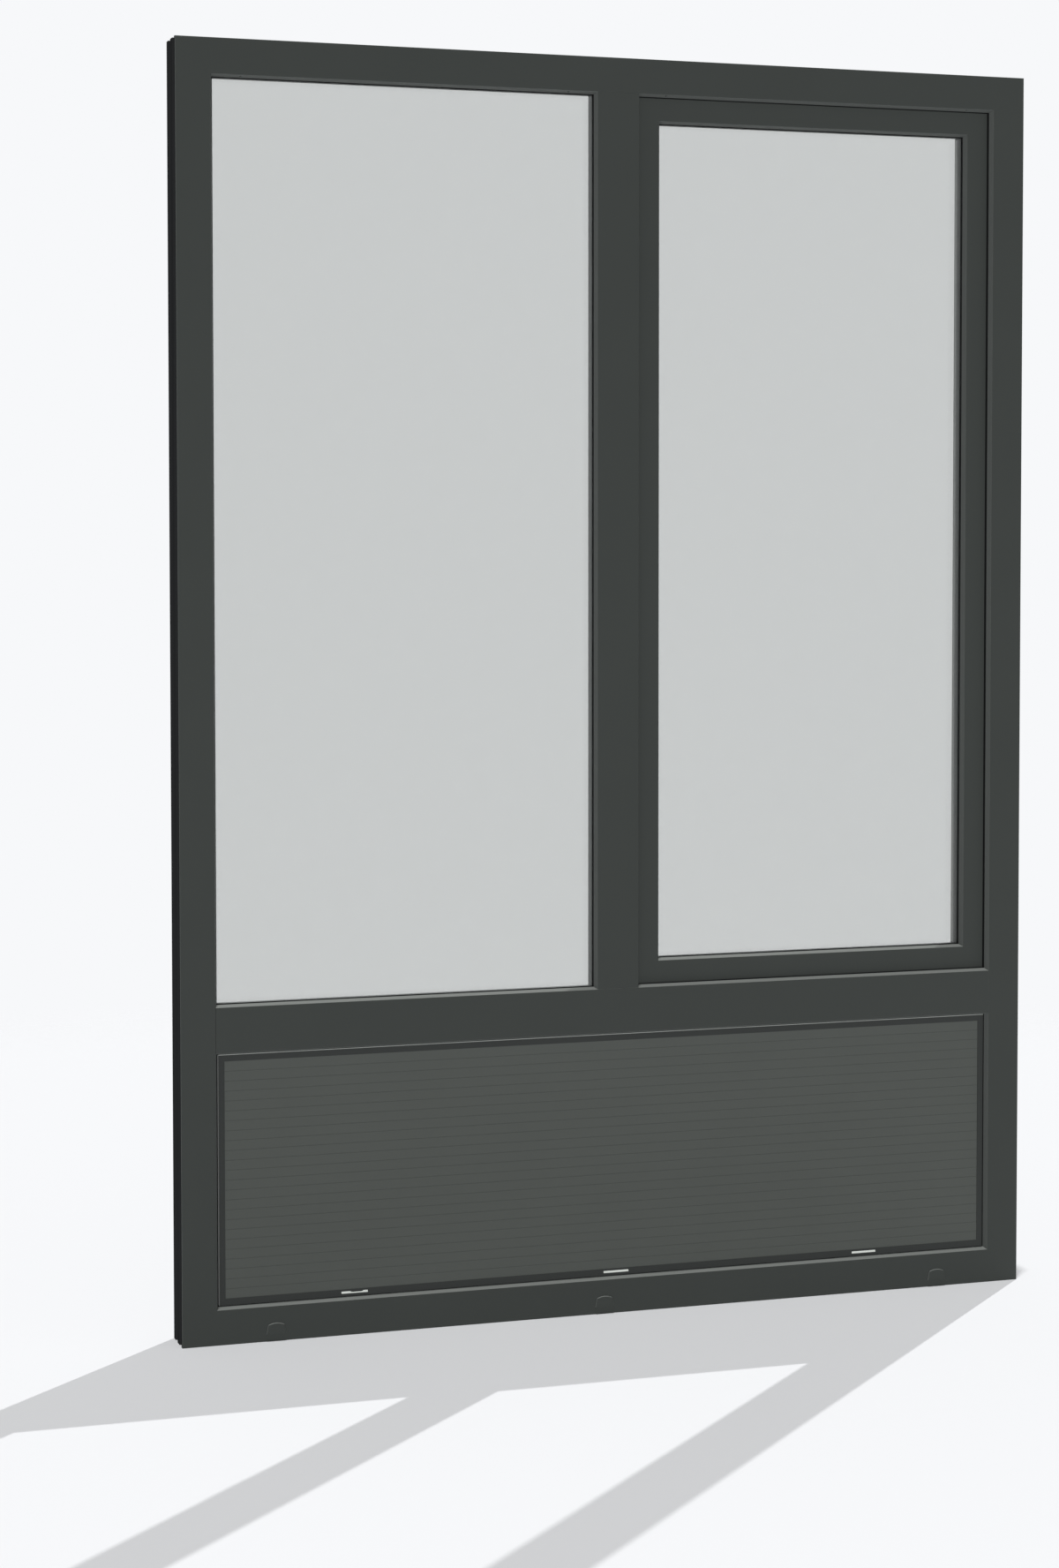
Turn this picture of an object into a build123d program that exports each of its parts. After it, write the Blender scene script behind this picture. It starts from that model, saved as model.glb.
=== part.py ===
from build123d import *
import os

# A storey-high window element: a fixed light and an inward-opening sash above a transom, and a
# grooved infill panel below it, in one frame of welded hollow profiles.
# Z is up, the outside face looks along -Y, and the origin is the middle of the frame's bottom face.
# Millimetres. Depths are counted from the outside face of the frame towards the room.

os.makedirs("parts", exist_ok=True)

# Whole element
window_width = 1560.0
window_height = 2200.0
transom_height = 536.75  # middle of the transom above the bottom face

# Profiles of the frame, the transom and the mullion
frame_depth = 72.0
frame_face = 60.0
transom_face = 77.5
mullion_face = 76.0
bevel_width = 3.5
bevel_depth = 12.0
rebate_height = 20.5
arris_radius = 1.0
joint_gap = 0.3  # hairline where a bar is coped over a lip

# Wall side of the frame: three lands with two grooves between them
front_land = 8.0
middle_land = 18.0
wall_groove_width = 16.0
wall_groove_depth = 3.3

# Seals
seal_thickness = 5.5
seal_proud = 1.2
seal_cover = 6.0
seal_rounding = 1.0
inner_seal_thickness = 3.0

# Double glazing
pane_thickness = 4.0
glass_cavity = 16.0
pane_cover = 15.0
spacer_inset = 1.0
spacer_height = 14.0

# Glazing beads
bead_height = 19.0
bead_nose = 4.0
bead_foot = 2.0

# Sash
sash_face = 39.0
sash_depth = 72.0
sash_lap = 8.0
flange_lap = 8.0
overlap_seal_width = 5.0
overlap_seal_inset = 1.0

# Infill panel
panel_rise = 7.5
panel_margin = 1.5
panel_top_margin = 0.5
panel_bottom_margin = 0.2
panel_border = 10.5
panel_foot = 11.5  # the border below the boards
panel_recess = 1.0
skin_thickness = 2.0
board_count = 24
board_groove_width = 1.6
board_groove_depth = 0.3
slot_length = 47.0
slot_height = 4.0
slot_rounding = 1.0
slot_spacing = 477.0
slot_depth = 1.0
slot_clearance = 0.1

# Drain caps on the sill and vent holes under the head
cap_width = 35.0
cap_shoulder_width = 29.0
cap_shoulder_height = 15.5
cap_height = 19.0
cap_rise = 2.2
cap_hollow = 1.0
cap_shoulder_radius = 4.0
cap_rounding = 2.0
cap_wall = 1.5
cap_bottom = 12.5
cap_spacing = 617.5
cap_middle_shift = -25.0
vent_diameter = 3.5
vent_depth = 5.0
vent_inset = 48.3

# Handle and hinges on the room side
rosette_width = 28.0
rosette_height = 66.0
rosette_depth = 10.0
lever_width = 20.0
lever_thickness = 12.0
lever_reach = 22.0
lever_bend = 14.0
lever_length = 118.0
hinge_diameter = 16.0
hinge_length = 70.0
hinge_leaf_width = 22.0
hinge_leaf_thickness = 3.0
hinge_gap = 0.3
hinge_inset = 70.0

# Worked out from the sizes above
front = -frame_depth / 2
lip_reach = frame_face + bevel_width
transom_reach = transom_face / 2 + bevel_width
mullion_reach = mullion_face / 2 + bevel_width
rebate_floor = lip_reach - rebate_height
transom_web = transom_reach - rebate_height
glass_depth = bevel_depth + seal_thickness
unit_thickness = 2 * pane_thickness + glass_cavity
field_half = window_width / 2 - lip_reach
sash_lip = seal_proud + sash_face + bevel_width
sash_glass_depth = glass_depth + glass_depth
sash_back = glass_depth + sash_depth
flange_reach = rebate_height + flange_lap
flange_front = frame_depth + inner_seal_thickness

up = Vector(0, 0, 1)
into_room = Vector(0, 1, 0)
inward = {"bottom": up, "top": -up, "left": Vector(1, 0, 0), "right": Vector(-1, 0, 0)}


def grown(rect, margin):
    """The rectangle (left, right, bottom, top) moved outwards by a margin on every side."""
    left, right, bottom, top = rect
    return (left - margin, right + margin, bottom - margin, top + margin)


def facade_plane(depth, x=0.0, z=0.0):
    """The plane that lies this deep behind the outside face, drawn as seen from outside."""
    return Plane((x, front + depth, z), x_dir=(1, 0, 0), z_dir=-into_room)


def section_plane(origin, direction):
    """A plane across a bar: its x runs over the bar's face and its y runs from outside to inside."""
    return Plane(origin, x_dir=direction, z_dir=direction.cross(into_room))


def side_origin(rect, side):
    """The middle of one side of a rectangle, on the outside face."""
    left, right, bottom, top = rect
    middle_x = (left + right) / 2
    middle_z = (bottom + top) / 2
    return {
        "bottom": (middle_x, front, bottom),
        "top": (middle_x, front, top),
        "left": (left, front, middle_z),
        "right": (right, front, middle_z),
    }[side]


def mitred_bar(rect, side, outline, arris=0.0):
    """One side of a rectangular frame, from an outline in (inward, depth), with mitred ends."""
    left, right, bottom, top = rect
    length = right - left if side in ("bottom", "top") else top - bottom
    reach = max(point[0] for point in outline)
    origin = side_origin(rect, side)
    across = section_plane(origin, inward[side])
    with BuildSketch(across) as section:
        with BuildLine():
            Polyline(*outline, close=True)
        make_face()
        if arris > 0:
            fillet(section.vertices().group_by(Axis.Y)[0], arris)
    extrude(section.sketch, amount=length / 2, both=True)
    along = across.z_dir
    with BuildSketch(Plane(origin, x_dir=along, z_dir=along.cross(inward[side]))) as mitre:
        with BuildLine():
            Polyline(
                (-length / 2, 0),
                (length / 2, 0),
                (length / 2 - reach, reach),
                (reach - length / 2, reach),
                close=True,
            )
        make_face()
    extrude(mitre.sketch, amount=2 * sash_back, both=True, mode=Mode.INTERSECT)


def sheet(rect, depth, thickness, mode=Mode.ADD):
    """A rectangular sheet whose outer face lies this deep behind the outside face."""
    left, right, bottom, top = rect
    with BuildSketch(facade_plane(depth + thickness)) as face:
        with Locations(((left + right) / 2, (bottom + top) / 2)):
            Rectangle(right - left, top - bottom)
    extrude(face.sketch, amount=thickness, mode=mode)


def ring(outer, inner, depth, thickness, rounding=0.0):
    """A flat rectangular ring between two rectangles, its outer opening edge rounded if asked."""
    sheet(outer, depth, thickness)
    sheet(inner, depth, thickness, mode=Mode.SUBTRACT)
    if rounding > 0:
        fillet(faces().sort_by(Axis.Y)[0].inner_wires()[0].edges(), rounding)


def tee_bar(plane, face, half_length):
    """A bar with a lip on both sides of its face, extruded both ways from a plane across it."""
    lip = face / 2 + bevel_width
    web = lip - rebate_height
    half = [(face / 2, 0), (lip, bevel_depth), (web, bevel_depth), (web, frame_depth)]
    with BuildSketch(plane) as section:
        with BuildLine():
            Polyline(*half, *[(-across, depth) for across, depth in reversed(half)], close=True)
        make_face()
        fillet(section.vertices().group_by(Axis.Y)[0], arris_radius)
    extrude(section.sketch, amount=half_length, both=True)


def lip_notch(origin, direction, floor, face_edge):
    """Cuts the end of a bar to the lip that it is coped over, with a hairline gap."""
    with BuildSketch(section_plane(origin, direction)) as notch:
        with BuildLine():
            Polyline(
                (floor, 0),
                (face_edge + joint_gap, 0),
                (face_edge + bevel_width + joint_gap, bevel_depth),
                (floor, bevel_depth),
                close=True,
            )
        make_face()
    half_width = max(transom_reach, mullion_reach) + joint_gap
    extrude(notch.sketch, amount=half_width, both=True, mode=Mode.SUBTRACT)


def save(piece, label):
    """Labels a finished piece and writes it."""
    piece.part.label = label
    export_step(piece.part, f"parts/{label}.step")


# The three fields, measured at the edges of the lips around them
window_rect = (-window_width / 2, window_width / 2, 0, window_height)
upper_bottom = transom_height + transom_reach
upper_top = window_height - lip_reach
fixed_field = (-field_half, -mullion_reach, upper_bottom, upper_top)
sash_field = (mullion_reach, field_half, upper_bottom, upper_top)
panel_field = (-field_half, field_half, lip_reach, transom_height - transom_reach)
sash_glass_field = grown(sash_field, -sash_lip)

# Frame: face, bevelled lip, rebate, room face, and the grooved wall side
first_groove = front_land
second_groove = front_land + wall_groove_width + middle_land
frame_outline = [
    (0, 0),
    (frame_face, 0),
    (lip_reach, bevel_depth),
    (rebate_floor, bevel_depth),
    (rebate_floor, frame_depth),
    (0, frame_depth),
]
for groove_start in (second_groove, first_groove):
    frame_outline += [
        (0, groove_start + wall_groove_width),
        (wall_groove_depth, groove_start + wall_groove_width),
        (wall_groove_depth, groove_start),
        (0, groove_start),
    ]

with BuildPart() as frame_head:
    mitred_bar(window_rect, "top", frame_outline, arris_radius)
    # Vent holes in the bevel, square to it, near the corners of the two upper fields
    bevel_middle = Vector(0, front + bevel_depth / 2, window_height - frame_face - bevel_width / 2)
    bevel_normal = Vector(0, -bevel_width, -bevel_depth).normalized()
    vent_places = [
        fixed_field[0] + vent_inset,
        fixed_field[1] - vent_inset,
        sash_field[0] + vent_inset,
        sash_field[1] - vent_inset,
    ]
    with BuildSketch(Plane(bevel_middle, x_dir=(1, 0, 0), z_dir=bevel_normal)):
        with Locations(*[(place, 0) for place in vent_places]):
            Circle(vent_diameter / 2)
    extrude(amount=-vent_depth, mode=Mode.SUBTRACT)
save(frame_head, "frame_head")

for side, label in (("bottom", "frame_sill"), ("left", "frame_left_jamb"), ("right", "frame_right_jamb")):
    with BuildPart() as frame_bar:
        mitred_bar(window_rect, side, frame_outline, arris_radius)
    save(frame_bar, label)

# Transom and mullion: tee profiles with a lip on both sides
with BuildPart() as transom:
    tee_bar(section_plane((0, front, transom_height), up), transom_face, window_width / 2 - rebate_floor)
    for side in ("left", "right"):
        origin = Vector(side_origin(window_rect, side)[0], front, transom_height)
        lip_notch(origin, inward[side], rebate_floor, frame_face)
save(transom, "transom")

mullion_bottom = transom_height + transom_web
mullion_top = window_height - rebate_floor
with BuildPart() as mullion:
    mullion_middle = (mullion_bottom + mullion_top) / 2
    tee_bar(Plane((0, front, mullion_middle)), mullion_face, mullion_top - mullion_middle)
    lip_notch((0, front, window_height), -up, rebate_floor, frame_face)
    lip_notch((0, front, transom_height), up, transom_web, transom_face / 2)
save(mullion, "mullion")

# Sash: its face lies behind the frame's lip, and its flange laps over the room side of the frame
sash_side = flange_reach - sash_lap
sash_face_edge = flange_reach + seal_proud + sash_face
sash_lip_edge = flange_reach + sash_lip
sash_floor = sash_lip_edge - rebate_height
sash_outline = [
    (sash_side, glass_depth),
    (sash_face_edge, glass_depth),
    (sash_lip_edge, glass_depth + bevel_depth),
    (sash_floor, glass_depth + bevel_depth),
    (sash_floor, sash_back),
    (0, sash_back),
    (0, flange_front),
    (sash_side, flange_front),
]
sash_labels = {
    "bottom": "sash_bottom_rail",
    "top": "sash_top_rail",
    "left": "sash_left_stile",
    "right": "sash_right_stile",
}
for side, label in sash_labels.items():
    with BuildPart() as sash_bar:
        mitred_bar(grown(sash_field, flange_reach), side, sash_outline, arris_radius)
    save(sash_bar, label)

# Double glazing units: two panes held apart by a spacer
for name, field, depth in (
    ("fixed", fixed_field, glass_depth),
    ("sash", sash_glass_field, sash_glass_depth),
):
    pane_rect = grown(field, pane_cover)
    with BuildPart() as outer_pane:
        sheet(pane_rect, depth, pane_thickness)
    save(outer_pane, f"{name}_outer_pane")
    with BuildPart() as spacer:
        ring(
            grown(pane_rect, -spacer_inset),
            grown(pane_rect, -spacer_inset - spacer_height),
            depth + pane_thickness,
            glass_cavity,
        )
    save(spacer, f"{name}_glass_spacer")
    with BuildPart() as inner_pane:
        sheet(pane_rect, depth + pane_thickness + glass_cavity, pane_thickness)
    save(inner_pane, f"{name}_inner_pane")

# Infill panel: a raised, grooved outer skin, a pale core and an inner skin
panel_rect = grown(panel_field, pane_cover)
pad_left, pad_right, _, _ = grown(panel_field, -seal_proud - panel_margin)
pad_bottom = panel_field[2] + seal_proud + panel_bottom_margin
pad_top = panel_field[3] - seal_proud - panel_top_margin
pad_rect = (pad_left, pad_right, pad_bottom, pad_top)
pad_depth = glass_depth - panel_rise
boards_left, boards_right, _, boards_top = grown(pad_rect, -panel_border)
boards_rect = (boards_left, boards_right, pad_bottom + panel_foot, boards_top)
boards_height = boards_rect[3] - boards_rect[2]
board_pitch = boards_height / board_count
boards_middle = Vector(0, front + pad_depth + panel_recess, (boards_rect[2] + boards_rect[3]) / 2)
slot_middle = boards_rect[2] - panel_border / 2
slot_places = [(place, slot_middle) for place in (-slot_spacing, 0, slot_spacing)]
with BuildPart() as panel_outer_skin:
    sheet(panel_rect, glass_depth, skin_thickness)
    sheet(pad_rect, pad_depth, panel_rise)
    sheet(boards_rect, pad_depth, panel_recess, mode=Mode.SUBTRACT)
    with BuildSketch(section_plane(boards_middle, up)):
        with GridLocations(board_pitch, 0, board_count - 1, 1):
            Polygon(
                (-board_groove_width / 2, 0),
                (board_groove_width / 2, 0),
                (0, board_groove_depth),
                align=None,
            )
    extrude(amount=(boards_rect[1] - boards_rect[0]) / 2, both=True, mode=Mode.SUBTRACT)
    with BuildSketch(facade_plane(glass_depth + skin_thickness)):
        with Locations(*slot_places):
            RectangleRounded(slot_length, slot_height, slot_rounding)
    extrude(amount=panel_rise + skin_thickness, mode=Mode.SUBTRACT)
save(panel_outer_skin, "panel_outer_skin")

with BuildPart() as panel_core:
    sheet(panel_rect, glass_depth + skin_thickness, unit_thickness - 2 * skin_thickness)
    # Ribs of the core fill the slots to just behind the border's face
    with BuildSketch(facade_plane(glass_depth + skin_thickness)):
        with Locations(*slot_places):
            RectangleRounded(
                slot_length - 2 * slot_clearance,
                slot_height - 2 * slot_clearance,
                slot_rounding - slot_clearance,
            )
    extrude(amount=panel_rise + skin_thickness - slot_depth)
save(panel_core, "panel_core")

with BuildPart() as panel_inner_skin:
    sheet(panel_rect, glass_depth + unit_thickness - skin_thickness, skin_thickness)
save(panel_inner_skin, "panel_inner_skin")

# Seals and beads of the three fields, and the two seals between the frame and the sash
bead_gap = rebate_height - bead_height
for name, field, depth, back in (
    ("fixed", fixed_field, glass_depth, frame_depth),
    ("sash", sash_glass_field, sash_glass_depth, sash_back),
    ("panel", panel_field, glass_depth, frame_depth),
):
    with BuildPart() as outer_seal:
        ring(
            grown(field, seal_cover),
            grown(field, -seal_proud),
            depth - seal_thickness,
            seal_thickness,
            seal_rounding,
        )
    save(outer_seal, f"{name}_outer_seal")
    bead_start = depth + unit_thickness + inner_seal_thickness
    with BuildPart() as inner_seal:
        ring(
            grown(field, bead_gap + seal_cover),
            grown(field, bead_gap),
            depth + unit_thickness,
            inner_seal_thickness,
        )
    save(inner_seal, f"{name}_inner_seal")
    bead_outline = [
        (0, bead_start),
        (bead_height, bead_start),
        (bead_height, bead_start + bead_nose),
        (bead_foot, back),
        (0, back),
    ]
    for side in inward:
        with BuildPart() as bead:
            mitred_bar(grown(field, rebate_height), side, bead_outline)
        save(bead, f"{name}_{side}_bead")

with BuildPart() as sash_stop_seal:
    ring(
        grown(sash_field, seal_cover),
        grown(sash_field, -seal_proud),
        bevel_depth,
        seal_thickness,
        seal_rounding,
    )
save(sash_stop_seal, "sash_stop_seal")

overlap_seal_rect = grown(sash_field, flange_reach - overlap_seal_inset)
with BuildPart() as sash_overlap_seal:
    ring(
        overlap_seal_rect,
        grown(overlap_seal_rect, -overlap_seal_width),
        frame_depth,
        inner_seal_thickness,
    )
save(sash_overlap_seal, "sash_overlap_seal")

# Drain caps: hoods on the sill's face, open below and hollow towards the sill
left_foot = (-cap_width / 2, 0)
right_foot = (cap_width / 2, 0)
left_shoulder = (-cap_shoulder_width / 2, cap_shoulder_height)
right_shoulder = (cap_shoulder_width / 2, cap_shoulder_height)
with BuildPart() as drain_caps:
    for place in (-cap_spacing, cap_middle_shift, cap_spacing):
        with BuildSketch(facade_plane(0, place, cap_bottom)) as hood:
            with BuildLine():
                Line(left_foot, left_shoulder)
                ThreePointArc(left_shoulder, (0, cap_height), right_shoulder)
                Line(right_shoulder, right_foot)
                Line(right_foot, left_foot)
            make_face()
            shoulders = hood.vertices().filter_by_position(Axis.Y, cap_wall, cap_height)
            fillet(shoulders, cap_shoulder_radius)
        extrude(amount=cap_rise)
    rim = drain_caps.edges().group_by(Axis.Y)[0]
    fillet(rim.filter_by_position(Axis.Z, cap_bottom + cap_wall, cap_bottom + cap_height), cap_rounding)
    for place in (-cap_spacing, cap_middle_shift, cap_spacing):
        with BuildSketch(facade_plane(0, place, cap_bottom)):
            Rectangle(
                cap_shoulder_width - 2 * cap_wall,
                cap_shoulder_height - cap_wall,
                align=(Align.CENTER, Align.MIN),
            )
        extrude(amount=cap_hollow, mode=Mode.SUBTRACT)
save(drain_caps, "drain_caps")

# Handle on the room side of the sash stile beside the mullion
stile_middle = sash_field[0] - flange_reach + sash_floor / 2
handle_height = (upper_bottom + upper_top) / 2
with BuildPart() as handle_rosette:
    with BuildSketch(facade_plane(sash_back, stile_middle, handle_height)):
        RectangleRounded(rosette_width, rosette_height, rosette_width / 2 - arris_radius)
    extrude(amount=-rosette_depth)
    fillet(handle_rosette.faces().sort_by(Axis.Y)[-1].edges(), 2 * arris_radius)
save(handle_rosette, "handle_rosette")

lever_start = front + sash_back + rosette_depth
with BuildPart() as handle_lever:
    with BuildLine() as lever_path:
        FilletPolyline(
            (stile_middle, lever_start, handle_height),
            (stile_middle, lever_start + lever_reach, handle_height),
            (stile_middle, lever_start + lever_reach, handle_height - lever_length),
            radius=lever_bend,
        )
    with BuildSketch(Plane((stile_middle, lever_start, handle_height), x_dir=(1, 0, 0), z_dir=into_room)):
        RectangleRounded(lever_width, lever_thickness, lever_thickness / 2 - arris_radius)
    sweep(path=lever_path.line)
    fillet(handle_lever.faces().sort_by(Axis.Z)[0].edges(), 2 * arris_radius)
save(handle_lever, "handle_lever")

# Hinges on the room side of the right jamb
hinge_edge = sash_field[1] + flange_reach + hinge_gap
hinge_x = hinge_edge + hinge_diameter / 2
hinge_y = front + frame_depth + hinge_leaf_thickness / 2 + hinge_diameter / 2
hinge_places = {
    "upper_hinge": sash_field[3] + flange_reach - hinge_inset,
    "lower_hinge": sash_field[2] - flange_reach + hinge_inset,
}
for label, height in hinge_places.items():
    with BuildPart() as hinge:
        with BuildSketch(Plane((hinge_x, hinge_y, height))):
            Circle(hinge_diameter / 2)
        extrude(amount=hinge_length / 2, both=True)
        with BuildSketch(facade_plane(frame_depth, hinge_edge, height)):
            Rectangle(hinge_leaf_width, hinge_length, align=(Align.MIN, Align.CENTER))
        extrude(amount=-hinge_leaf_thickness)
    save(hinge, label)
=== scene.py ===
import math
import bpy
import numpy as np
from mathutils import Matrix, Vector


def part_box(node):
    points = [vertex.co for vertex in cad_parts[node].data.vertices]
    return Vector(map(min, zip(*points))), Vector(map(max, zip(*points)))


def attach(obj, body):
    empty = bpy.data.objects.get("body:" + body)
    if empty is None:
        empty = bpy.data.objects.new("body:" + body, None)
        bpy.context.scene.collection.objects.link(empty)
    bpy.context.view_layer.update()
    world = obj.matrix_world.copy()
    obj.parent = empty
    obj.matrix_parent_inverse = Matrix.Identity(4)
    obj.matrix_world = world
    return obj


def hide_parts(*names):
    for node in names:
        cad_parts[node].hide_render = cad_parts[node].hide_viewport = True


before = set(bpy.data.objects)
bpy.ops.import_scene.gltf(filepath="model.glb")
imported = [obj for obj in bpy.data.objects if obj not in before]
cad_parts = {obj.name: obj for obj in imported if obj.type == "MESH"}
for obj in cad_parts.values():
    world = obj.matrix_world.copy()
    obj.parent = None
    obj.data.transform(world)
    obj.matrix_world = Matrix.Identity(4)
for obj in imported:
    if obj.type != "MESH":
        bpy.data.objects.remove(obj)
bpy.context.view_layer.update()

bl_info = {
    "name": "Facade window dresser",
    "version": (1, 0, 0),
    "blender": (4, 5, 0),
    "location": "3D View > Sidebar > Window",
    "description": "Finishes, soft seals and a plain studio for a storey-high window",
    "category": "Object",
}

BODY = "root"
MILLIMETRE = 0.001
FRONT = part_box("frame_sill")[0].y
WINDOW_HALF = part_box("frame_head")[1].x
WINDOW_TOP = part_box("frame_head")[1].z
SIDES = ("top", "bottom", "left", "right")
FIELDS = ("fixed", "sash", "panel")

# The panel: the border of its raised pad, and the rectangle of its boards (left, right, bottom, top), which
# lies inside the panel's seal by three margins
SEAL_LOW, SEAL_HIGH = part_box("panel_outer_seal")
BORDER = 10.5 * MILLIMETRE
SIDE_MARGIN = 19.2 * MILLIMETRE
BOTTOM_MARGIN = 18.9 * MILLIMETRE
TOP_MARGIN = 18.2 * MILLIMETRE
BOARDS = (
    SEAL_LOW.x + SIDE_MARGIN,
    SEAL_HIGH.x - SIDE_MARGIN,
    SEAL_LOW.z + BOTTOM_MARGIN,
    SEAL_HIGH.z - TOP_MARGIN,
)
# The boards lie back from the pad's face, and the grooves between them a little deeper.
PAD_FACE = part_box("panel_outer_skin")[0].y
BOARD_FACE = PAD_FACE + 1.0 * MILLIMETRE
GROOVE_DEPTH = 0.3 * MILLIMETRE
# The first slot, in the border below the boards
SLOT_X = -477 * MILLIMETRE
SLOT_Z = BOARDS[2] - BORDER / 2
SLOT_HALF_HEIGHT = 2.0 * MILLIMETRE

# How finely round edges are drawn, and from which turn on an edge is sharp
QUARTER_TURN = np.linspace(0, np.pi / 2, 7)
SHARP_TURN = math.radians(40)
# The long side of the camera's film in millimetres
FILM_LENGTH = 36


def linear(code):
    """A colour written as sRGB hex, turned by the standard curve to the linear values that shaders use."""
    srgb = np.array([int(code[i : i + 2], 16) for i in (1, 3, 5)]) / 255
    return tuple(np.where(srgb <= 0.04045, srgb / 12.92, ((srgb + 0.055) / 1.055) ** 2.4))


def colour(name, description, code):
    """A colour property whose default is an sRGB hex value."""
    return bpy.props.FloatVectorProperty(
        name=name, description=description, subtype="COLOR", size=3, min=0, max=1, default=linear(code)
    )


def length(name, description, millimetres):
    """A length property whose default is given in millimetres."""
    default = millimetres * MILLIMETRE
    return bpy.props.FloatProperty(
        name=name, description=description, subtype="DISTANCE", unit="LENGTH", default=default
    )


def rotation(name, description, degrees):
    """An angle property whose default is given in degrees."""
    default = math.radians(degrees)
    return bpy.props.FloatProperty(name=name, description=description, subtype="ANGLE", default=default)


def direction(name, description, way):
    """A property for the way that a lamp's light travels."""
    return bpy.props.FloatVectorProperty(
        name=name, description=description, subtype="XYZ", size=3, default=way
    )


def level(name, description, value):
    """A plain number property."""
    return bpy.props.FloatProperty(name=name, description=description, min=0, default=value)


class WindowFinish(bpy.types.PropertyGroup):
    """Colours of the window's materials."""

    foil: colour("Foil", "Anthracite foil on the profiles", "#3A3D3B")
    # Painted highlight: the foil's tone on faces that look up, made paler as though lit from above, not a
    # film on them.
    foil_painted_top_light: colour("Foil ledges", "Foil where it faces up and carries a pale film", "#7B7E7B")
    # Painted light: the foil's tone on faces that look sideways or down, a little paler as though lit from
    # the side and from below.
    foil_painted_side_light: colour("Foil reveals", "Foil where it faces sideways or down", "#595C5A")
    core: colour("Core", "Bare plastic on the wall side of the frame", "#2B2C2D")
    boards: colour("Boards", "Grooved field of the panel", "#4D504D")
    # Painted shade: the darker tone at the bottom of the grooves between the boards.
    painted_groove_shade: colour("Grooves", "Bottom of the grooves between the boards", "#454845")
    border: colour("Border", "Raised border of the panel", "#343635")
    # Painted highlight: the pale tone of the edging strip and of the panel border's faces that look up.
    edging: colour("Edging", "Pale edging over the panel's border", "#8F928F")
    # Painted light: the pale tone of the panel border's faces that look sideways or down.
    border_painted_side_light: colour("Border reveals", "Side edges of the panel's border", "#C4C7C5")
    rubber: colour("Rubber", "Extruded seals", "#101111")
    soft_lip: colour("Soft lips", "Grey lips between the inner panes and the beads", "#A6A9A7")
    glass: colour("Glass", "Tint of one pane", "#E4E5E4")
    spacer: colour("Spacer", "Spacer between the panes", "#858887")
    foam: colour("Foam", "Core of the panel, seen in its slots", "#D9DDD8")
    cap: colour("Caps", "Moulded drain caps", "#3B3E3C")
    coating: colour("Coating", "Powder coat on handle and hinges", "#3A3D3B")


class WindowSizes(bpy.types.PropertyGroup):
    """Sizes of the soft and small pieces, and of the grain in the materials."""

    outer_seal: length("Outer seal", "Width of the seals on the weather side", 7.2)
    inner_seal: length("Inner seal", "Width of the lips behind the inner panes", 6.0)
    overlap_seal: length("Overlap seal", "Width of the seal behind the sash's flange", 5.0)
    stile_stretch: level("Stile stretch", "Widening of the sash's inner lip along its stiles", 1.5)
    seal_waist: length("Seal waist", "How far a seal draws in between its nose and its lip", 0.5)
    seal_nose: length("Seal nose", "Rounding of a seal's outer edge", 1.0)
    edging: length("Edging", "Thickness of the round edging over the panel", 1.6)
    hinge_radius: length("Hinge radius", "Radius of a hinge's barrel", 8.0)
    hinge_groove: length("Hinge groove", "Depth of the grooves between a hinge's knuckles", 1.0)
    hinge_groove_reach: length("Hinge groove reach", "Reach of those grooves either way", 1.0)
    hinge_dome: length("Hinge dome", "Height of the domes at a hinge's ends", 4.0)
    leaf_thickness: length("Leaf thickness", "Thickness of a hinge's leaf", 3.0)
    leaf_rounding: length("Leaf rounding", "Rounding of a hinge leaf's edge", 1.0)
    curl_width: length("Curl width", "Width of the loose foil over the first slot", 23.0)
    curl_drop: length("Curl drop", "How far the loose foil hangs into the first slot", 1.7)
    curl_centre: length("Curl centre", "Middle of the loose foil, from the slot's middle", 4.0)
    curl_thickness: length("Curl thickness", "Thickness of the loose foil", 0.3)
    # Real foil has a grain of a tenth of a millimetre, which is too fine to show; it is drawn coarser.
    emboss: length("Emboss", "Grain of the foil, drawn coarse enough to show", 1.4)
    cloud: length("Cloud", "Size of the soft tone changes in a surface", 140.0)


class WindowStage(bpy.types.PropertyGroup):
    """Camera, floor and lights."""

    camera_place: bpy.props.FloatVectorProperty(
        name="Camera place", description="Where the camera stands", subtype="XYZ", unit="LENGTH", size=3,
        default=(-1.76865, -5.03545, 1.36398),
    )
    camera_yaw: rotation("Camera yaw", "Turn to the right of the window's normal", 17.8015)
    camera_pitch: rotation("Camera pitch", "Tilt downwards", 2.4963)
    camera_roll: rotation("Camera roll", "Turn about the view axis", -0.0423)
    lens: bpy.props.FloatProperty(
        name="Lens", description="Focal length for the film's long side", subtype="DISTANCE_CAMERA",
        default=69.577,
    )
    shift: bpy.props.FloatProperty(
        name="Shift", description="Vertical shift, as a share of the picture's long side", default=-0.071424
    )
    backdrop: colour("Backdrop", "Colour of the studio behind the window", "#F7F8FA")
    floor: colour("Floor", "Colour of the studio floor", "#EAEBED")
    floor_radius: length("Floor radius", "Reach of the floor", 14000)
    fade_start: length("Fade start", "Where the floor starts to fade into the backdrop", 2800)
    fade_end: length("Fade end", "Where the floor has faded into the backdrop", 3800)
    sky: level("Sky", "Strength of the even studio light", 0.15)
    front_light: level("Front light", "Strength of the soft light from the front", 1.75)
    front_fall: level("Front fall", "How much the light from the front falls on its way", 0.01)
    top_light: level("Top light", "Strength of the soft light from above", 1.94)
    top_way: direction("Top way", "Way of the light from above, a little to the back", (0.02, 0.03, -1))
    back_light: level("Back light", "Strength of the crisp light from behind", 1.64)
    back_way: direction("Back way", "Way of the light from behind", (-0.695, -0.69, -1))
    soft_spread: rotation("Soft spread", "Spread of the lights from the front and from above", 1.0)
    crisp_spread: rotation("Crisp spread", "Spread of the light from behind", 0.4)


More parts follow.
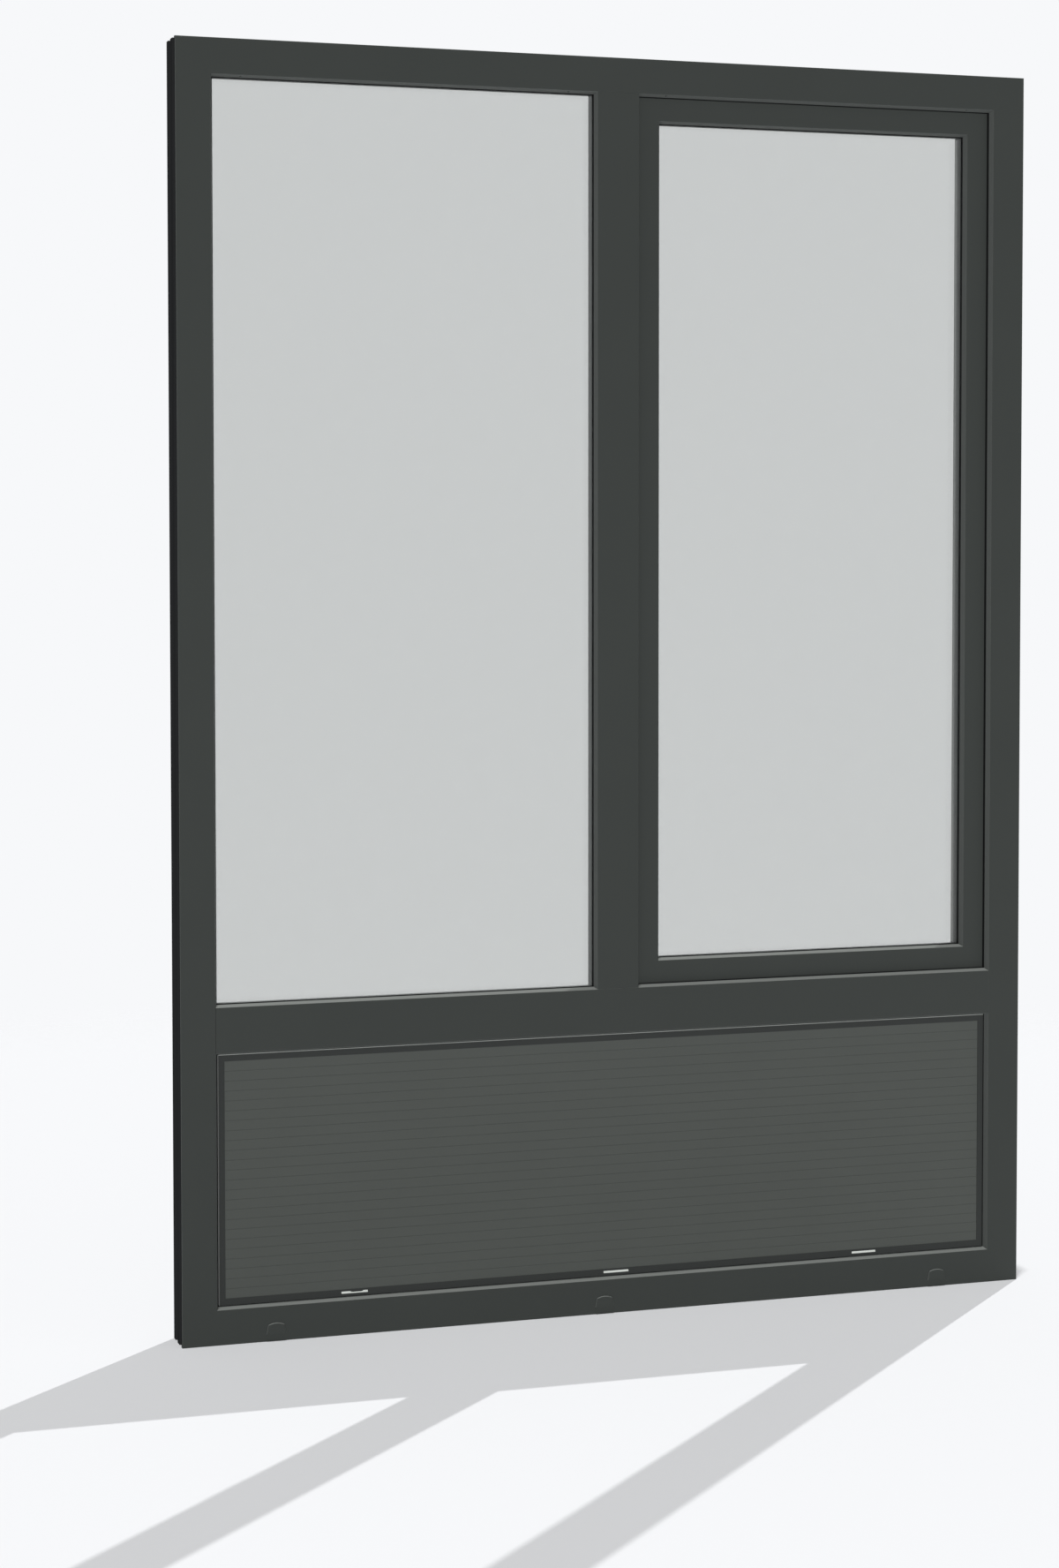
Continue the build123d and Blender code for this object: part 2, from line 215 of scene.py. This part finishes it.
def add_node(tree, kind, inputs=(), **settings):
    """Adds a node, sets its properties, and feeds its inputs from values or from other sockets."""
    node = tree.nodes.new(kind)
    for name, value in settings.items():
        setattr(node, name, value)
    for key, value in dict(inputs).items():
        if isinstance(value, bpy.types.NodeSocket):
            tree.links.new(value, node.inputs[key])
        else:
            node.inputs[key].default_value = value
    return node


def maths(tree, operation, *values):
    """The result of a calculation with values or sockets."""
    return add_node(tree, "ShaderNodeMath", enumerate(values), operation=operation).outputs[0]


def coordinates(tree, vector):
    """The X, Y and Z sockets of a vector."""
    return add_node(tree, "ShaderNodeSeparateXYZ", {"Vector": vector}).outputs


def mixed(tree, share, first, second):
    """A colour that goes from the first to the second by a share."""
    inputs = {"Factor": share, "A": first, "B": second}
    return add_node(tree, "ShaderNodeMix", inputs, data_type="RGBA").outputs["Result"]


def smooth_share(tree, value, start, end):
    """A share that rises smoothly from nought to one while a value goes from start to end."""
    inputs = {"Value": value, "From Min": start, "From Max": end}
    return add_node(tree, "ShaderNodeMapRange", inputs, interpolation_type="SMOOTHSTEP").outputs["Result"]


def noise(tree, place, size, detail):
    """Soft noise with spots of about one size."""
    inputs = {"Vector": place, "Scale": 1 / size, "Detail": detail}
    return add_node(tree, "ShaderNodeTexNoise", inputs).outputs["Fac"]


def around(tree, value, middle, swing):
    """A share from nought to one, turned to a number that swings about a middle."""
    inputs = {"Value": value, "To Min": middle - swing, "To Max": middle + swing}
    return add_node(tree, "ShaderNodeMapRange", inputs).outputs["Result"]


def new_material(name):
    """An empty node material and its tree."""
    material = bpy.data.materials.new(name)
    material.use_nodes = True
    material.node_tree.nodes.clear()
    return material, material.node_tree


def object_place(tree):
    """The place on the object, which patterns go by."""
    return add_node(tree, "ShaderNodeTexCoord").outputs["Object"]


def dress(names, material):
    """Gives CAD nodes one material in place of the plain one that they came with."""
    for name in names:
        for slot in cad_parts[name].material_slots:
            slot.material = material


def clouded(tree, place, base, size):
    """A colour with faint clouds of tone in it, four percent either way."""
    tone = around(tree, noise(tree, place, size, detail=2.0), middle=1.0, swing=0.04)
    shade = add_node(tree, "ShaderNodeVectorMath", {0: base, "Scale": tone}, operation="SCALE")
    return shade.outputs["Vector"]


def painted_facing_light(tree, place, face, top_light_tone, side_light_tone):
    """Painted light: a face colour made paler by the way the surface faces, on the weather side alone: much
    on ledges that face up, as though lit from above, and a little on reveals that face sideways or down."""
    outside = maths(tree, "LESS_THAN", coordinates(tree, place)["Y"], 0.0)
    normal = coordinates(tree, add_node(tree, "ShaderNodeNewGeometry").outputs["True Normal"])
    aside = maths(tree, "ABSOLUTE", normal["X"])
    below = maths(tree, "MULTIPLY", normal["Z"], -1.0)
    shown = face
    for facing, tone in ((maths(tree, "MAXIMUM", aside, below), side_light_tone), (normal["Z"], top_light_tone)):
        share = smooth_share(tree, facing, start=0.5, end=0.9)
        shown = mixed(tree, maths(tree, "MULTIPLY", share, outside), shown, (*tone, 1))
    return shown


def satin(tree, place, base, grain, roughness, specular, bump):
    """A satin shader over a fine grain, a fifth as deep as it is wide, which breaks up its highlights."""
    fine = noise(tree, place, grain, detail=3.0)
    relief = add_node(tree, "ShaderNodeBump", {"Height": fine, "Strength": bump, "Distance": grain / 5})
    shader = add_node(
        tree,
        "ShaderNodeBsdfPrincipled",
        {
            "Base Color": base,
            "Roughness": around(tree, fine, middle=roughness, swing=0.08),
            "Specular IOR Level": specular,
            "Normal": relief.outputs["Normal"],
        },
    )
    add_node(tree, "ShaderNodeOutputMaterial", {"Surface": shader.outputs["BSDF"]})


def plain_satin(name, base, sizes, grain, roughness, specular, bump):
    """A moulded, coated or extruded surface of one clouded colour. The real grain of such surfaces is too
    fine to show, so the grain given is a coarser one."""
    material, tree = new_material(name)
    place = object_place(tree)
    satin(tree, place, clouded(tree, place, base, sizes.cloud), grain, roughness, specular, bump)
    return material


def inside(tree, place, rect):
    """One inside an upright rectangle (left, right, bottom, top), nought outside it."""
    left, right, bottom, top = rect
    axes = coordinates(tree, place)
    shares = []
    for axis, low, high in (("X", left, right), ("Z", bottom, top)):
        off = maths(tree, "SUBTRACT", axes[axis], (low + high) / 2)
        away = maths(tree, "ABSOLUTE", off)
        shares.append(maths(tree, "LESS_THAN", away, (high - low) / 2))
    return maths(tree, "MULTIPLY", *shares)


def foiled_upvc(finish, sizes):
    """Rigid plastic profile under a satin acrylic foil: even dark grey, with painted light on the weather
    side that makes faces looking up much paler and faces looking sideways or down a little paler. The foil
    wraps the face and ends just behind its arris, so the lands and grooves of the wall side show the bare,
    dull core."""
    edge_reach = 4.5 * MILLIMETRE
    foil_turn = 1.2 * MILLIMETRE
    foil_specular = 0.1
    material, tree = new_material("foiled_upvc_anthracite")
    place = object_place(tree)
    face = clouded(tree, place, finish.foil, sizes.cloud)
    face = painted_facing_light(tree, place, face, finish.foil_painted_top_light, finish.foil_painted_side_light)
    half = WINDOW_HALF - edge_reach
    foiled = inside(tree, place, (-half, half, edge_reach, WINDOW_TOP - edge_reach))
    ahead = maths(tree, "LESS_THAN", coordinates(tree, place)["Y"], FRONT + foil_turn)
    covered = maths(tree, "MAXIMUM", foiled, ahead)
    base = mixed(tree, covered, (*finish.core, 1), face)
    specular = maths(tree, "MULTIPLY", covered, foil_specular)
    satin(tree, place, base, grain=sizes.emboss, roughness=0.5, specular=specular, bump=0.2)
    return material


def foiled_panel_sheet(finish, sizes):
    """Foiled sheet of the infill panel: a paler grooved field in a dark raised border, with painted light
    that makes the border's faces looking up, sideways or down paler, and painted shade at the bottom of the
    grooves.
    """
    field_inset = 0.1 * MILLIMETRE
    left, right, bottom, top = BOARDS
    material, tree = new_material("foiled_panel_sheet")
    place = object_place(tree)
    border = (*finish.border, 1)
    # Painted light on the border's faces that look up, sideways or down.
    base = painted_facing_light(tree, place, border, finish.edging, finish.border_painted_side_light)
    field = clouded(tree, place, finish.boards, sizes.cloud)
    # The steps between the border and the boards keep the border's tone.
    for margin, tone in ((BORDER / 2, border), (-field_inset, field)):
        within = inside(tree, place, (left - margin, right + margin, bottom - margin, top + margin))
        base = mixed(tree, within, base, tone)
    # Painted shade: the grooves turn darker with their depth below the boards' face.
    depth = {"From Min": BOARD_FACE, "From Max": BOARD_FACE + GROOVE_DEPTH}
    deep = add_node(tree, "ShaderNodeMapRange", {"Value": coordinates(tree, place)["Y"], **depth})
    groove_shade_share = maths(tree, "MULTIPLY", deep.outputs["Result"], within)
    base = mixed(tree, groove_shade_share, base, (*finish.painted_groove_shade, 1))
    satin(tree, place, base, grain=sizes.emboss, roughness=0.5, specular=0.1, bump=0.2)
    return material


def float_glass(finish):
    """Clear float glass: a faint grey-green tint and sharp reflections; lamps shine through it."""
    material, tree = new_material("clear_float_glass")
    glass = add_node(
        tree,
        "ShaderNodeBsdfPrincipled",
        {"Base Color": (*finish.glass, 1), "Roughness": 0.0, "IOR": 1.45, "Transmission Weight": 1.0},
    )
    clear = add_node(tree, "ShaderNodeBsdfTransparent", {"Color": (1, 1, 1, 1)})
    path = add_node(tree, "ShaderNodeLightPath")
    both = add_node(
        tree,
        "ShaderNodeMixShader",
        {"Fac": path.outputs["Is Shadow Ray"], 1: glass.outputs["BSDF"], 2: clear.outputs["BSDF"]},
    )
    add_node(tree, "ShaderNodeOutputMaterial", {"Surface": both.outputs["Shader"]})
    return material


def moulded_plastic(finish, sizes):
    """Injection-moulded plastic of the caps: the foil's grey, with the same painted light as the foil, paler
    on what faces up, sideways or down.
    """
    material, tree = new_material("moulded_cap_plastic")
    place = object_place(tree)
    face = clouded(tree, place, finish.cap, sizes.cloud)
    face = painted_facing_light(tree, place, face, finish.foil_painted_top_light, finish.foil_painted_side_light)
    satin(tree, place, face, grain=0.9 * MILLIMETRE, roughness=0.5, specular=0.1, bump=0.15)
    return material


def seen_directly(tree):
    """One for what the camera sees, also by way of mirrors and glass, and nought for light that has already
    met a matt surface."""
    path = add_node(tree, "ShaderNodeLightPath").outputs
    seen = path["Is Camera Ray"]
    for ray in ("Is Glossy Ray", "Is Transmission Ray"):
        seen = maths(tree, "MAXIMUM", seen, path[ray])
    # The depth is a whole number, so a half tells none from one.
    direct = maths(tree, "LESS_THAN", path["Diffuse Depth"], 0.5)
    return maths(tree, "MULTIPLY", seen, direct)


def grid_faces(rows, columns, wrap_rows=False, wrap_columns=False):
    """Quads of a grid of points, closed round in either direction if asked."""
    row, column = np.meshgrid(
        np.arange(rows - (not wrap_rows)), np.arange(columns - (not wrap_columns)), indexing="ij"
    )
    next_row = (row + 1) % rows
    next_column = (column + 1) % columns
    corners = [row * columns + column, row * columns + next_column]
    corners += [next_row * columns + next_column, next_row * columns + column]
    return np.stack(corners, -1).reshape(-1, 4)


def full_turn(spokes):
    """Even angles round a circle."""
    return np.linspace(0, 2 * np.pi, spokes, endpoint=False)


def new_piece(name, points, faces, material, body=BODY):
    """Makes a piece of the window from whole arrays of points and faces, smooth but for its sharp edges, and
    gives it a body and a slot."""
    mesh = bpy.data.meshes.new(name)
    mesh.from_pydata(points.reshape(-1, 3).tolist(), [], [list(face) for face in faces])
    mesh.materials.append(material)
    mesh.shade_smooth()
    mesh.set_sharp_from_angle(angle=SHARP_TURN)
    piece = bpy.data.objects.new(name, mesh)
    bpy.context.scene.collection.objects.link(piece)
    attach(piece, body)
    return piece


def carried_round(rect, profile, stretch):
    """A closed profile of (inward, depth) points carried round a rectangle, mitred at its four corners: each
    corner takes x = side ± stretch times inward, y = depth, z = side ± inward."""
    left, right, bottom, top = rect
    inward, depth = profile.T
    across = stretch * inward
    x = np.stack([left + across, right - across, right - across, left + across])
    z = np.stack([bottom + inward, bottom + inward, top - inward, top - inward])
    return np.stack([x, np.broadcast_to(depth, x.shape), z], -1)


def turned(profile, axis):
    """A profile of (radius, height) points turned about an upright axis: x = axis + r cos a,
    y = axis + r sin a, with a flat face at either end."""
    spokes = 32
    radius, height = profile.T[:, :, None]
    angle = full_turn(spokes)
    x = axis[0] + radius * np.cos(angle)
    y = axis[1] + radius * np.sin(angle)
    points = np.stack([x, y, np.broadcast_to(height, x.shape)], -1)
    ends = [np.arange(spokes)[::-1], np.arange(spokes) + (len(profile) - 1) * spokes]
    return points, [*grid_faces(len(profile), spokes, wrap_columns=True), *ends]


def lip_profile(width, thickness, nose, waist):
    """The section of a seal in (inward, depth): a flat foot, a round nose of a quarter circle, and a side
    that draws in by a squared sine before it meets the glass again."""
    side_points = 12
    round_inward = width - nose + nose * np.sin(QUARTER_TURN)
    round_depth = nose - nose * np.cos(QUARTER_TURN)
    share = np.linspace(0, 1, side_points + 1)[1:]
    side_inward = width - waist * np.sin(np.pi * share) ** 2
    side_depth = nose + share * (thickness - nose)
    foot = [(0, thickness), (0, 0)]
    return np.concatenate(
        [foot, np.stack([round_inward, round_depth], -1), np.stack([side_inward, side_depth], -1)]
    )


class WINDOW_OT_profiles(bpy.types.Operator):
    """Finish the frame, the bars, the sash and the glazing beads"""

    bl_idname = "facade_window.profiles"
    bl_label = "Profiles"

    def execute(self, context):
        beads = [f"{field}_{side}_bead" for field in FIELDS for side in SIDES]
        bars = ["frame_head", "frame_sill", "frame_left_jamb", "frame_right_jamb", "transom", "mullion"]
        sash = ["sash_top_rail", "sash_bottom_rail", "sash_left_stile", "sash_right_stile"]
        dress(beads + bars + sash, foiled_upvc(context.scene.window_finish, context.scene.window_sizes))
        return {"FINISHED"}


class WINDOW_OT_glazing(bpy.types.Operator):
    """Finish the panes and the spacers between them"""

    bl_idname = "facade_window.glazing"
    bl_label = "Glazing"

    def execute(self, context):
        finish = context.scene.window_finish
        sizes = context.scene.window_sizes
        panes = [f"{field}_{face}_pane" for field in ("fixed", "sash") for face in ("outer", "inner")]
        dress(panes, float_glass(finish))
        # Extruded composite: a dull grey bar with a barely uneven skin.
        spacer = plain_satin(
            "warm_edge_composite", finish.spacer, sizes,
            grain=0.8 * MILLIMETRE, roughness=0.5, specular=0.2, bump=0.2,
        )
        dress(["fixed_glass_spacer", "sash_glass_spacer"], spacer)
        return {"FINISHED"}


class WINDOW_OT_panel(bpy.types.Operator):
    """Finish the infill panel, hang the loose foil over its first slot and lay its edging"""

    bl_idname = "facade_window.panel"
    bl_label = "Infill panel"

    def execute(self, context):
        finish = context.scene.window_finish
        sizes = context.scene.window_sizes
        skin = foiled_panel_sheet(finish, sizes)
        dress(["panel_outer_skin", "panel_inner_skin"], skin)
        # Closed-cell foam: pale and chalky, with the fine pits of its cut face.
        foam = plain_satin(
            "rigid_insulation_foam", finish.foam, sizes,
            grain=1.5 * MILLIMETRE, roughness=0.8, specular=0.1, bump=0.4,
        )
        dress(["panel_core"], foam)
        self.hang_curl(sizes, skin)
        # Extruded edging in a paler, chalkier tone than the foil; its pale colour is a painted highlight, a
        # bright line along the pad's upper edge over the panel.
        pale = plain_satin(
            "edging_painted_highlight", finish.edging, sizes,
            grain=0.9 * MILLIMETRE, roughness=0.6, specular=0.1, bump=0.15,
        )
        self.lay_edging(sizes, pale)
        return {"FINISHED"}

    def lay_edging(self, sizes, material):
        """The edging is a circle carried along x on the pad's upper edge: y = face + r - r cos a,
        z = top + r + r sin a, with a flat end on either side."""
        spokes = 16
        left, right, _, top = BOARDS
        radius = sizes.edging / 2
        x, angle = np.meshgrid([left - BORDER, right + BORDER], full_turn(spokes), indexing="ij")
        y = PAD_FACE + radius - radius * np.cos(angle)
        z = top + BORDER + radius + radius * np.sin(angle)
        ends = [np.arange(spokes), np.arange(spokes)[::-1] + spokes]
        faces = [*grid_faces(2, spokes, wrap_columns=True)[:, ::-1], *ends]
        new_piece("panel_edging", np.stack([x, y, z], -1), faces, material)

    def hang_curl(self, sizes, material):
        """The loose foil is a sheet on (u, v): x = centre + u width / 2, z = top - v drop (1 - u^10), and y
        bulges outwards by a sine of v. Its ends keep a sliver of height."""
        columns, rows = 33, 9
        sliver = 0.05 * MILLIMETRE
        set_back = 1.5 * sizes.curl_thickness
        u, v = np.meshgrid(np.linspace(-1, 1, columns), np.linspace(0, 1, rows), indexing="ij")
        x = SLOT_X + sizes.curl_centre + u * sizes.curl_width / 2
        z = SLOT_Z + SLOT_HALF_HEIGHT - v * (sizes.curl_drop * (1 - u**10) + sliver)
        y = PAD_FACE + set_back - sizes.curl_thickness * np.sin(np.pi * v)
        faces = grid_faces(columns, rows)
        curl = new_piece("slot_foil_curl", np.stack([x, y, z], -1), faces, material)
        solid = curl.modifiers.new("thickness", "SOLIDIFY")
        solid.thickness = sizes.curl_thickness


class WINDOW_OT_seals(bpy.types.Operator):
    """Make the seals: soft lips carried round each opening"""

    bl_idname = "facade_window.seals"
    bl_label = "Seals"

    def execute(self, context):
        finish = context.scene.window_finish
        sizes = context.scene.window_sizes
        skin = {"grain": 0.6 * MILLIMETRE, "roughness": 0.65, "specular": 0.15, "bump": 0.2}
        # Extruded rubber: near black and dull, with a faint drag of the die.
        rubber = plain_satin("extruded_epdm_rubber", finish.rubber, sizes, **skin)
        # Soft grey thermoplastic: a dull, paler line behind the inner panes.
        soft = plain_satin("soft_grey_thermoplastic", finish.soft_lip, sizes, **skin)
        # The sash's inner lip lies wider over the glass along its stiles.
        for field, stretch in zip(FIELDS, (1.0, sizes.stile_stretch, 1.0)):
            self.lay_seal(f"{field}_outer_seal", sizes.outer_seal, sizes, rubber)
            self.lay_seal(f"{field}_inner_seal", sizes.inner_seal, sizes, soft, stretch)
        self.lay_seal("sash_stop_seal", sizes.outer_seal, sizes, rubber)
        self.lay_seal("sash_overlap_seal", sizes.overlap_seal, sizes, rubber)
        return {"FINISHED"}

    def lay_seal(self, node, width, sizes, material, stretch=1.0):
        """A seal's section carried round the rectangle that its node fills."""
        low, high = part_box(node)
        profile = lip_profile(width, high.y - low.y, sizes.seal_nose, sizes.seal_waist)
        points = carried_round((low.x, high.x, low.z, high.z), profile + (0, low.y), stretch)
        faces = grid_faces(4, len(profile), wrap_rows=True, wrap_columns=True)[:, ::-1]
        piece = new_piece(f"{node}_lip", points, faces, material)
        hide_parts(node)


class WINDOW_OT_hardware(bpy.types.Operator):
    """Finish the drain caps, the handle and the hinges"""

    bl_idname = "facade_window.hardware"
    bl_label = "Caps and hardware"

    def execute(self, context):
        finish = context.scene.window_finish
        sizes = context.scene.window_sizes
        dress(["drain_caps"], moulded_plastic(finish, sizes))
        # Powder coat on die-cast zinc: dark grey with a fine orange peel.
        coat = plain_satin(
            "powder_coated_zinc", finish.coating, sizes,
            grain=0.9 * MILLIMETRE, roughness=0.42, specular=0.5, bump=0.3,
        )
        dress(["handle_rosette", "handle_lever"], coat)
        for node in ("upper_hinge", "lower_hinge"):
            self.hang_hinge(node, sizes, coat)
        return {"FINISHED"}

    def hang_hinge(self, node, sizes, material):
        """A hinge is a barrel on its leaf."""
        low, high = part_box(node)
        profile = self.barrel_profile(low.z, high.z, sizes)
        points, faces = turned(profile, (low.x + sizes.hinge_radius, high.y - sizes.hinge_radius))
        piece = new_piece(f"{node}_barrel", points, faces, material)
        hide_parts(node)
        points, faces = self.leaf(low, high, sizes.leaf_thickness, sizes.leaf_rounding)
        new_piece(f"{node}_leaf", points, faces, material)

    def barrel_profile(self, bottom, top, sizes):
        """The barrel's radius over the height h is R less two bell curves, the grooves between its three
        knuckles, and falls as an ellipse over the domes at its ends, which stop just short of a point."""
        rings = 81
        pole_share = 0.999
        half = (top - bottom) / 2
        height = half * np.sin(np.linspace(-1, 1, rings) * np.pi / 2) * pole_share
        grooves = 0
        for place in (-half / 3, half / 3):
            grooves = grooves + np.exp(-(((height - place) / sizes.hinge_groove_reach) ** 2))
        dome = np.clip((abs(height) - half + sizes.hinge_dome) / sizes.hinge_dome, 0, 1)
        radius = (sizes.hinge_radius - sizes.hinge_groove * grooves) * np.sqrt(1 - dome**2)
        return np.stack([radius, (bottom + top) / 2 + height], -1)

    def leaf(self, low, high, thickness, rounding):
        """A leaf is a superellipse of the eighth power, carried from the frame outwards and drawn in over a
        quarter circle at its edge."""
        spokes = 64
        power = 8
        angle = full_turn(spokes)
        inset = np.concatenate([[0], rounding * (1 - np.cos(QUARTER_TURN))])[:, None]
        y = np.concatenate([[0], thickness - rounding * (1 - np.sin(QUARTER_TURN))])[:, None] + low.y
        across = np.sign(np.cos(angle)) * abs(np.cos(angle)) ** (2 / power)
        upward = np.sign(np.sin(angle)) * abs(np.sin(angle)) ** (2 / power)
        x = (low.x + high.x) / 2 + ((high.x - low.x) / 2 - inset) * across
        z = (low.z + high.z) / 2 + ((high.z - low.z) / 2 - inset) * upward
        points = np.stack([x, np.broadcast_to(y, x.shape), z], -1)
        faces = grid_faces(len(inset), spokes, wrap_columns=True)[:, ::-1]
        ends = [np.arange(spokes), np.arange(spokes)[::-1] + (len(inset) - 1) * spokes]
        return points, [*faces, *ends]


class WINDOW_OT_stage(bpy.types.Operator):
    """Make the studio: floor, backdrop, lights and camera"""

    bl_idname = "facade_window.stage"
    bl_label = "Studio"

    def execute(self, context):
        scene = context.scene
        stage = scene.window_stage
        scene.view_settings.view_transform = "Standard"
        self.make_world(scene, stage)
        self.make_floor(scene, stage)
        ahead = (math.sin(stage.camera_yaw), math.cos(stage.camera_yaw), -stage.front_fall)
        self.make_lamp(scene, "front_light", stage.front_light, ahead, stage.soft_spread)
        self.make_lamp(scene, "soft_top_light", stage.top_light, stage.top_way, stage.soft_spread)
        self.make_lamp(scene, "crisp_back_light", stage.back_light, stage.back_way, stage.crisp_spread)
        self.make_camera(scene, stage)
        return {"FINISHED"}

    def make_world(self, scene, stage):
        """An even white studio to the eye, to mirrors and to glass, and a softer light on all else."""
        world = bpy.data.worlds.new("studio")
        world.use_nodes = True
        tree = world.node_tree
        tree.nodes.clear()
        light = add_node(tree, "ShaderNodeBackground", {"Color": (1, 1, 1, 1), "Strength": stage.sky})
        shown = add_node(tree, "ShaderNodeBackground", {"Color": (*stage.backdrop, 1), "Strength": 1.0})
        both = add_node(
            tree,
            "ShaderNodeMixShader",
            {"Fac": seen_directly(tree), 1: light.outputs["Background"], 2: shown.outputs["Background"]},
        )
        add_node(tree, "ShaderNodeOutputWorld", {"Surface": both.outputs["Shader"]})
        scene.world = world

    def make_floor(self, scene, stage):
        """A round floor on polar rings: x = r cos a, y = r sin a, with a pinhole in the middle."""
        rings, spokes = 24, 96
        pinhole = 0.001
        radii = np.linspace(pinhole, 1, rings) * stage.floor_radius
        radius, angle = np.meshgrid(radii, full_turn(spokes), indexing="ij")
        points = np.stack([radius * np.cos(angle), radius * np.sin(angle), np.zeros_like(radius)], -1)
        faces = grid_faces(rings, spokes, wrap_columns=True)[:, ::-1]
        mesh = bpy.data.meshes.new("studio_floor")
        mesh.from_pydata(points.reshape(-1, 3).tolist(), [], faces.tolist())
        mesh.materials.append(self.floor_paint(stage))
        floor = bpy.data.objects.new("studio_floor", mesh)
        scene.collection.objects.link(floor)

    def floor_paint(self, stage):
        """Matt white paint. To the eye it fades into the backdrop, and its light reaches the window from all
        of the floor."""
        material, tree = new_material("matt_studio_floor")
        place = object_place(tree)
        away = add_node(tree, "ShaderNodeVectorMath", {0: place}, operation="LENGTH")
        fade = smooth_share(tree, away.outputs["Value"], stage.fade_start, stage.fade_end)
        faded = maths(tree, "MULTIPLY", fade, seen_directly(tree))
        paint = add_node(tree, "ShaderNodeBsdfDiffuse", {"Color": (*stage.floor, 1)})
        clear = add_node(tree, "ShaderNodeBsdfTransparent")
        both = add_node(
            tree,
            "ShaderNodeMixShader",
            {"Fac": faded, 1: paint.outputs["BSDF"], 2: clear.outputs["BSDF"]},
        )
        add_node(tree, "ShaderNodeOutputMaterial", {"Surface": both.outputs["Shader"]})
        return material

    def make_lamp(self, scene, name, strength, way, spread):
        """A far lamp whose light travels one way, spread over an angle. It shines through the panes by shadow
        rays alone, so rays that the glass bends or mirrors leave it out."""
        lamp = bpy.data.lights.new(name, "SUN")
        lamp.energy = strength
        lamp.angle = spread
        holder = bpy.data.objects.new(name, lamp)
        holder.visible_transmission = False
        holder.visible_glossy = False
        holder.rotation_euler = Vector(way).to_track_quat("-Z", "Y").to_euler()
        scene.collection.objects.link(holder)

    def make_camera(self, scene, stage):
        """The photograph's view: place, turn, lens and the shift that its crop needs."""
        data = bpy.data.cameras.new("photo_view")
        data.sensor_width = FILM_LENGTH
        data.lens = stage.lens
        data.shift_y = stage.shift
        camera = bpy.data.objects.new("photo_view", data)
        turn = (
            Matrix.Rotation(-stage.camera_yaw, 4, "Z")
            @ Matrix.Rotation(math.pi / 2 - stage.camera_pitch, 4, "X")
            @ Matrix.Rotation(stage.camera_roll, 4, "Z")
        )
        camera.matrix_world = Matrix.Translation(stage.camera_place) @ turn
        scene.collection.objects.link(camera)
        scene.camera = camera


class WINDOW_PT_dresser(bpy.types.Panel):
    """Lists the steps that dress the window"""

    bl_idname = "WINDOW_PT_dresser"
    bl_label = "Facade window"
    bl_space_type = "VIEW_3D"
    bl_region_type = "UI"
    bl_category = "Window"

    def draw(self, context):
        column = self.layout.column()
        for operator in OPERATORS:
            column.operator(operator.bl_idname)
        for group in GROUPS:
            settings = getattr(context.scene, group)
            for name in settings.__annotations__:
                column.prop(settings, name)


OPERATORS = (
    WINDOW_OT_profiles,
    WINDOW_OT_glazing,
    WINDOW_OT_panel,
    WINDOW_OT_seals,
    WINDOW_OT_hardware,
    WINDOW_OT_stage,
)
GROUPS = {"window_finish": WindowFinish, "window_sizes": WindowSizes, "window_stage": WindowStage}
CLASSES = (*GROUPS.values(), *OPERATORS, WINDOW_PT_dresser)


def register():
    for item in CLASSES:
        bpy.utils.register_class(item)
    for name, group in GROUPS.items():
        setattr(bpy.types.Scene, name, bpy.props.PointerProperty(type=group))


def unregister():
    for name in GROUPS:
        delattr(bpy.types.Scene, name)
    for item in reversed(CLASSES):
        bpy.utils.unregister_class(item)


def main():
    register()
    for operator in OPERATORS:
        group, name = operator.bl_idname.split(".")
        getattr(getattr(bpy.ops, group), name)()


if __name__ == "__main__":
    main()
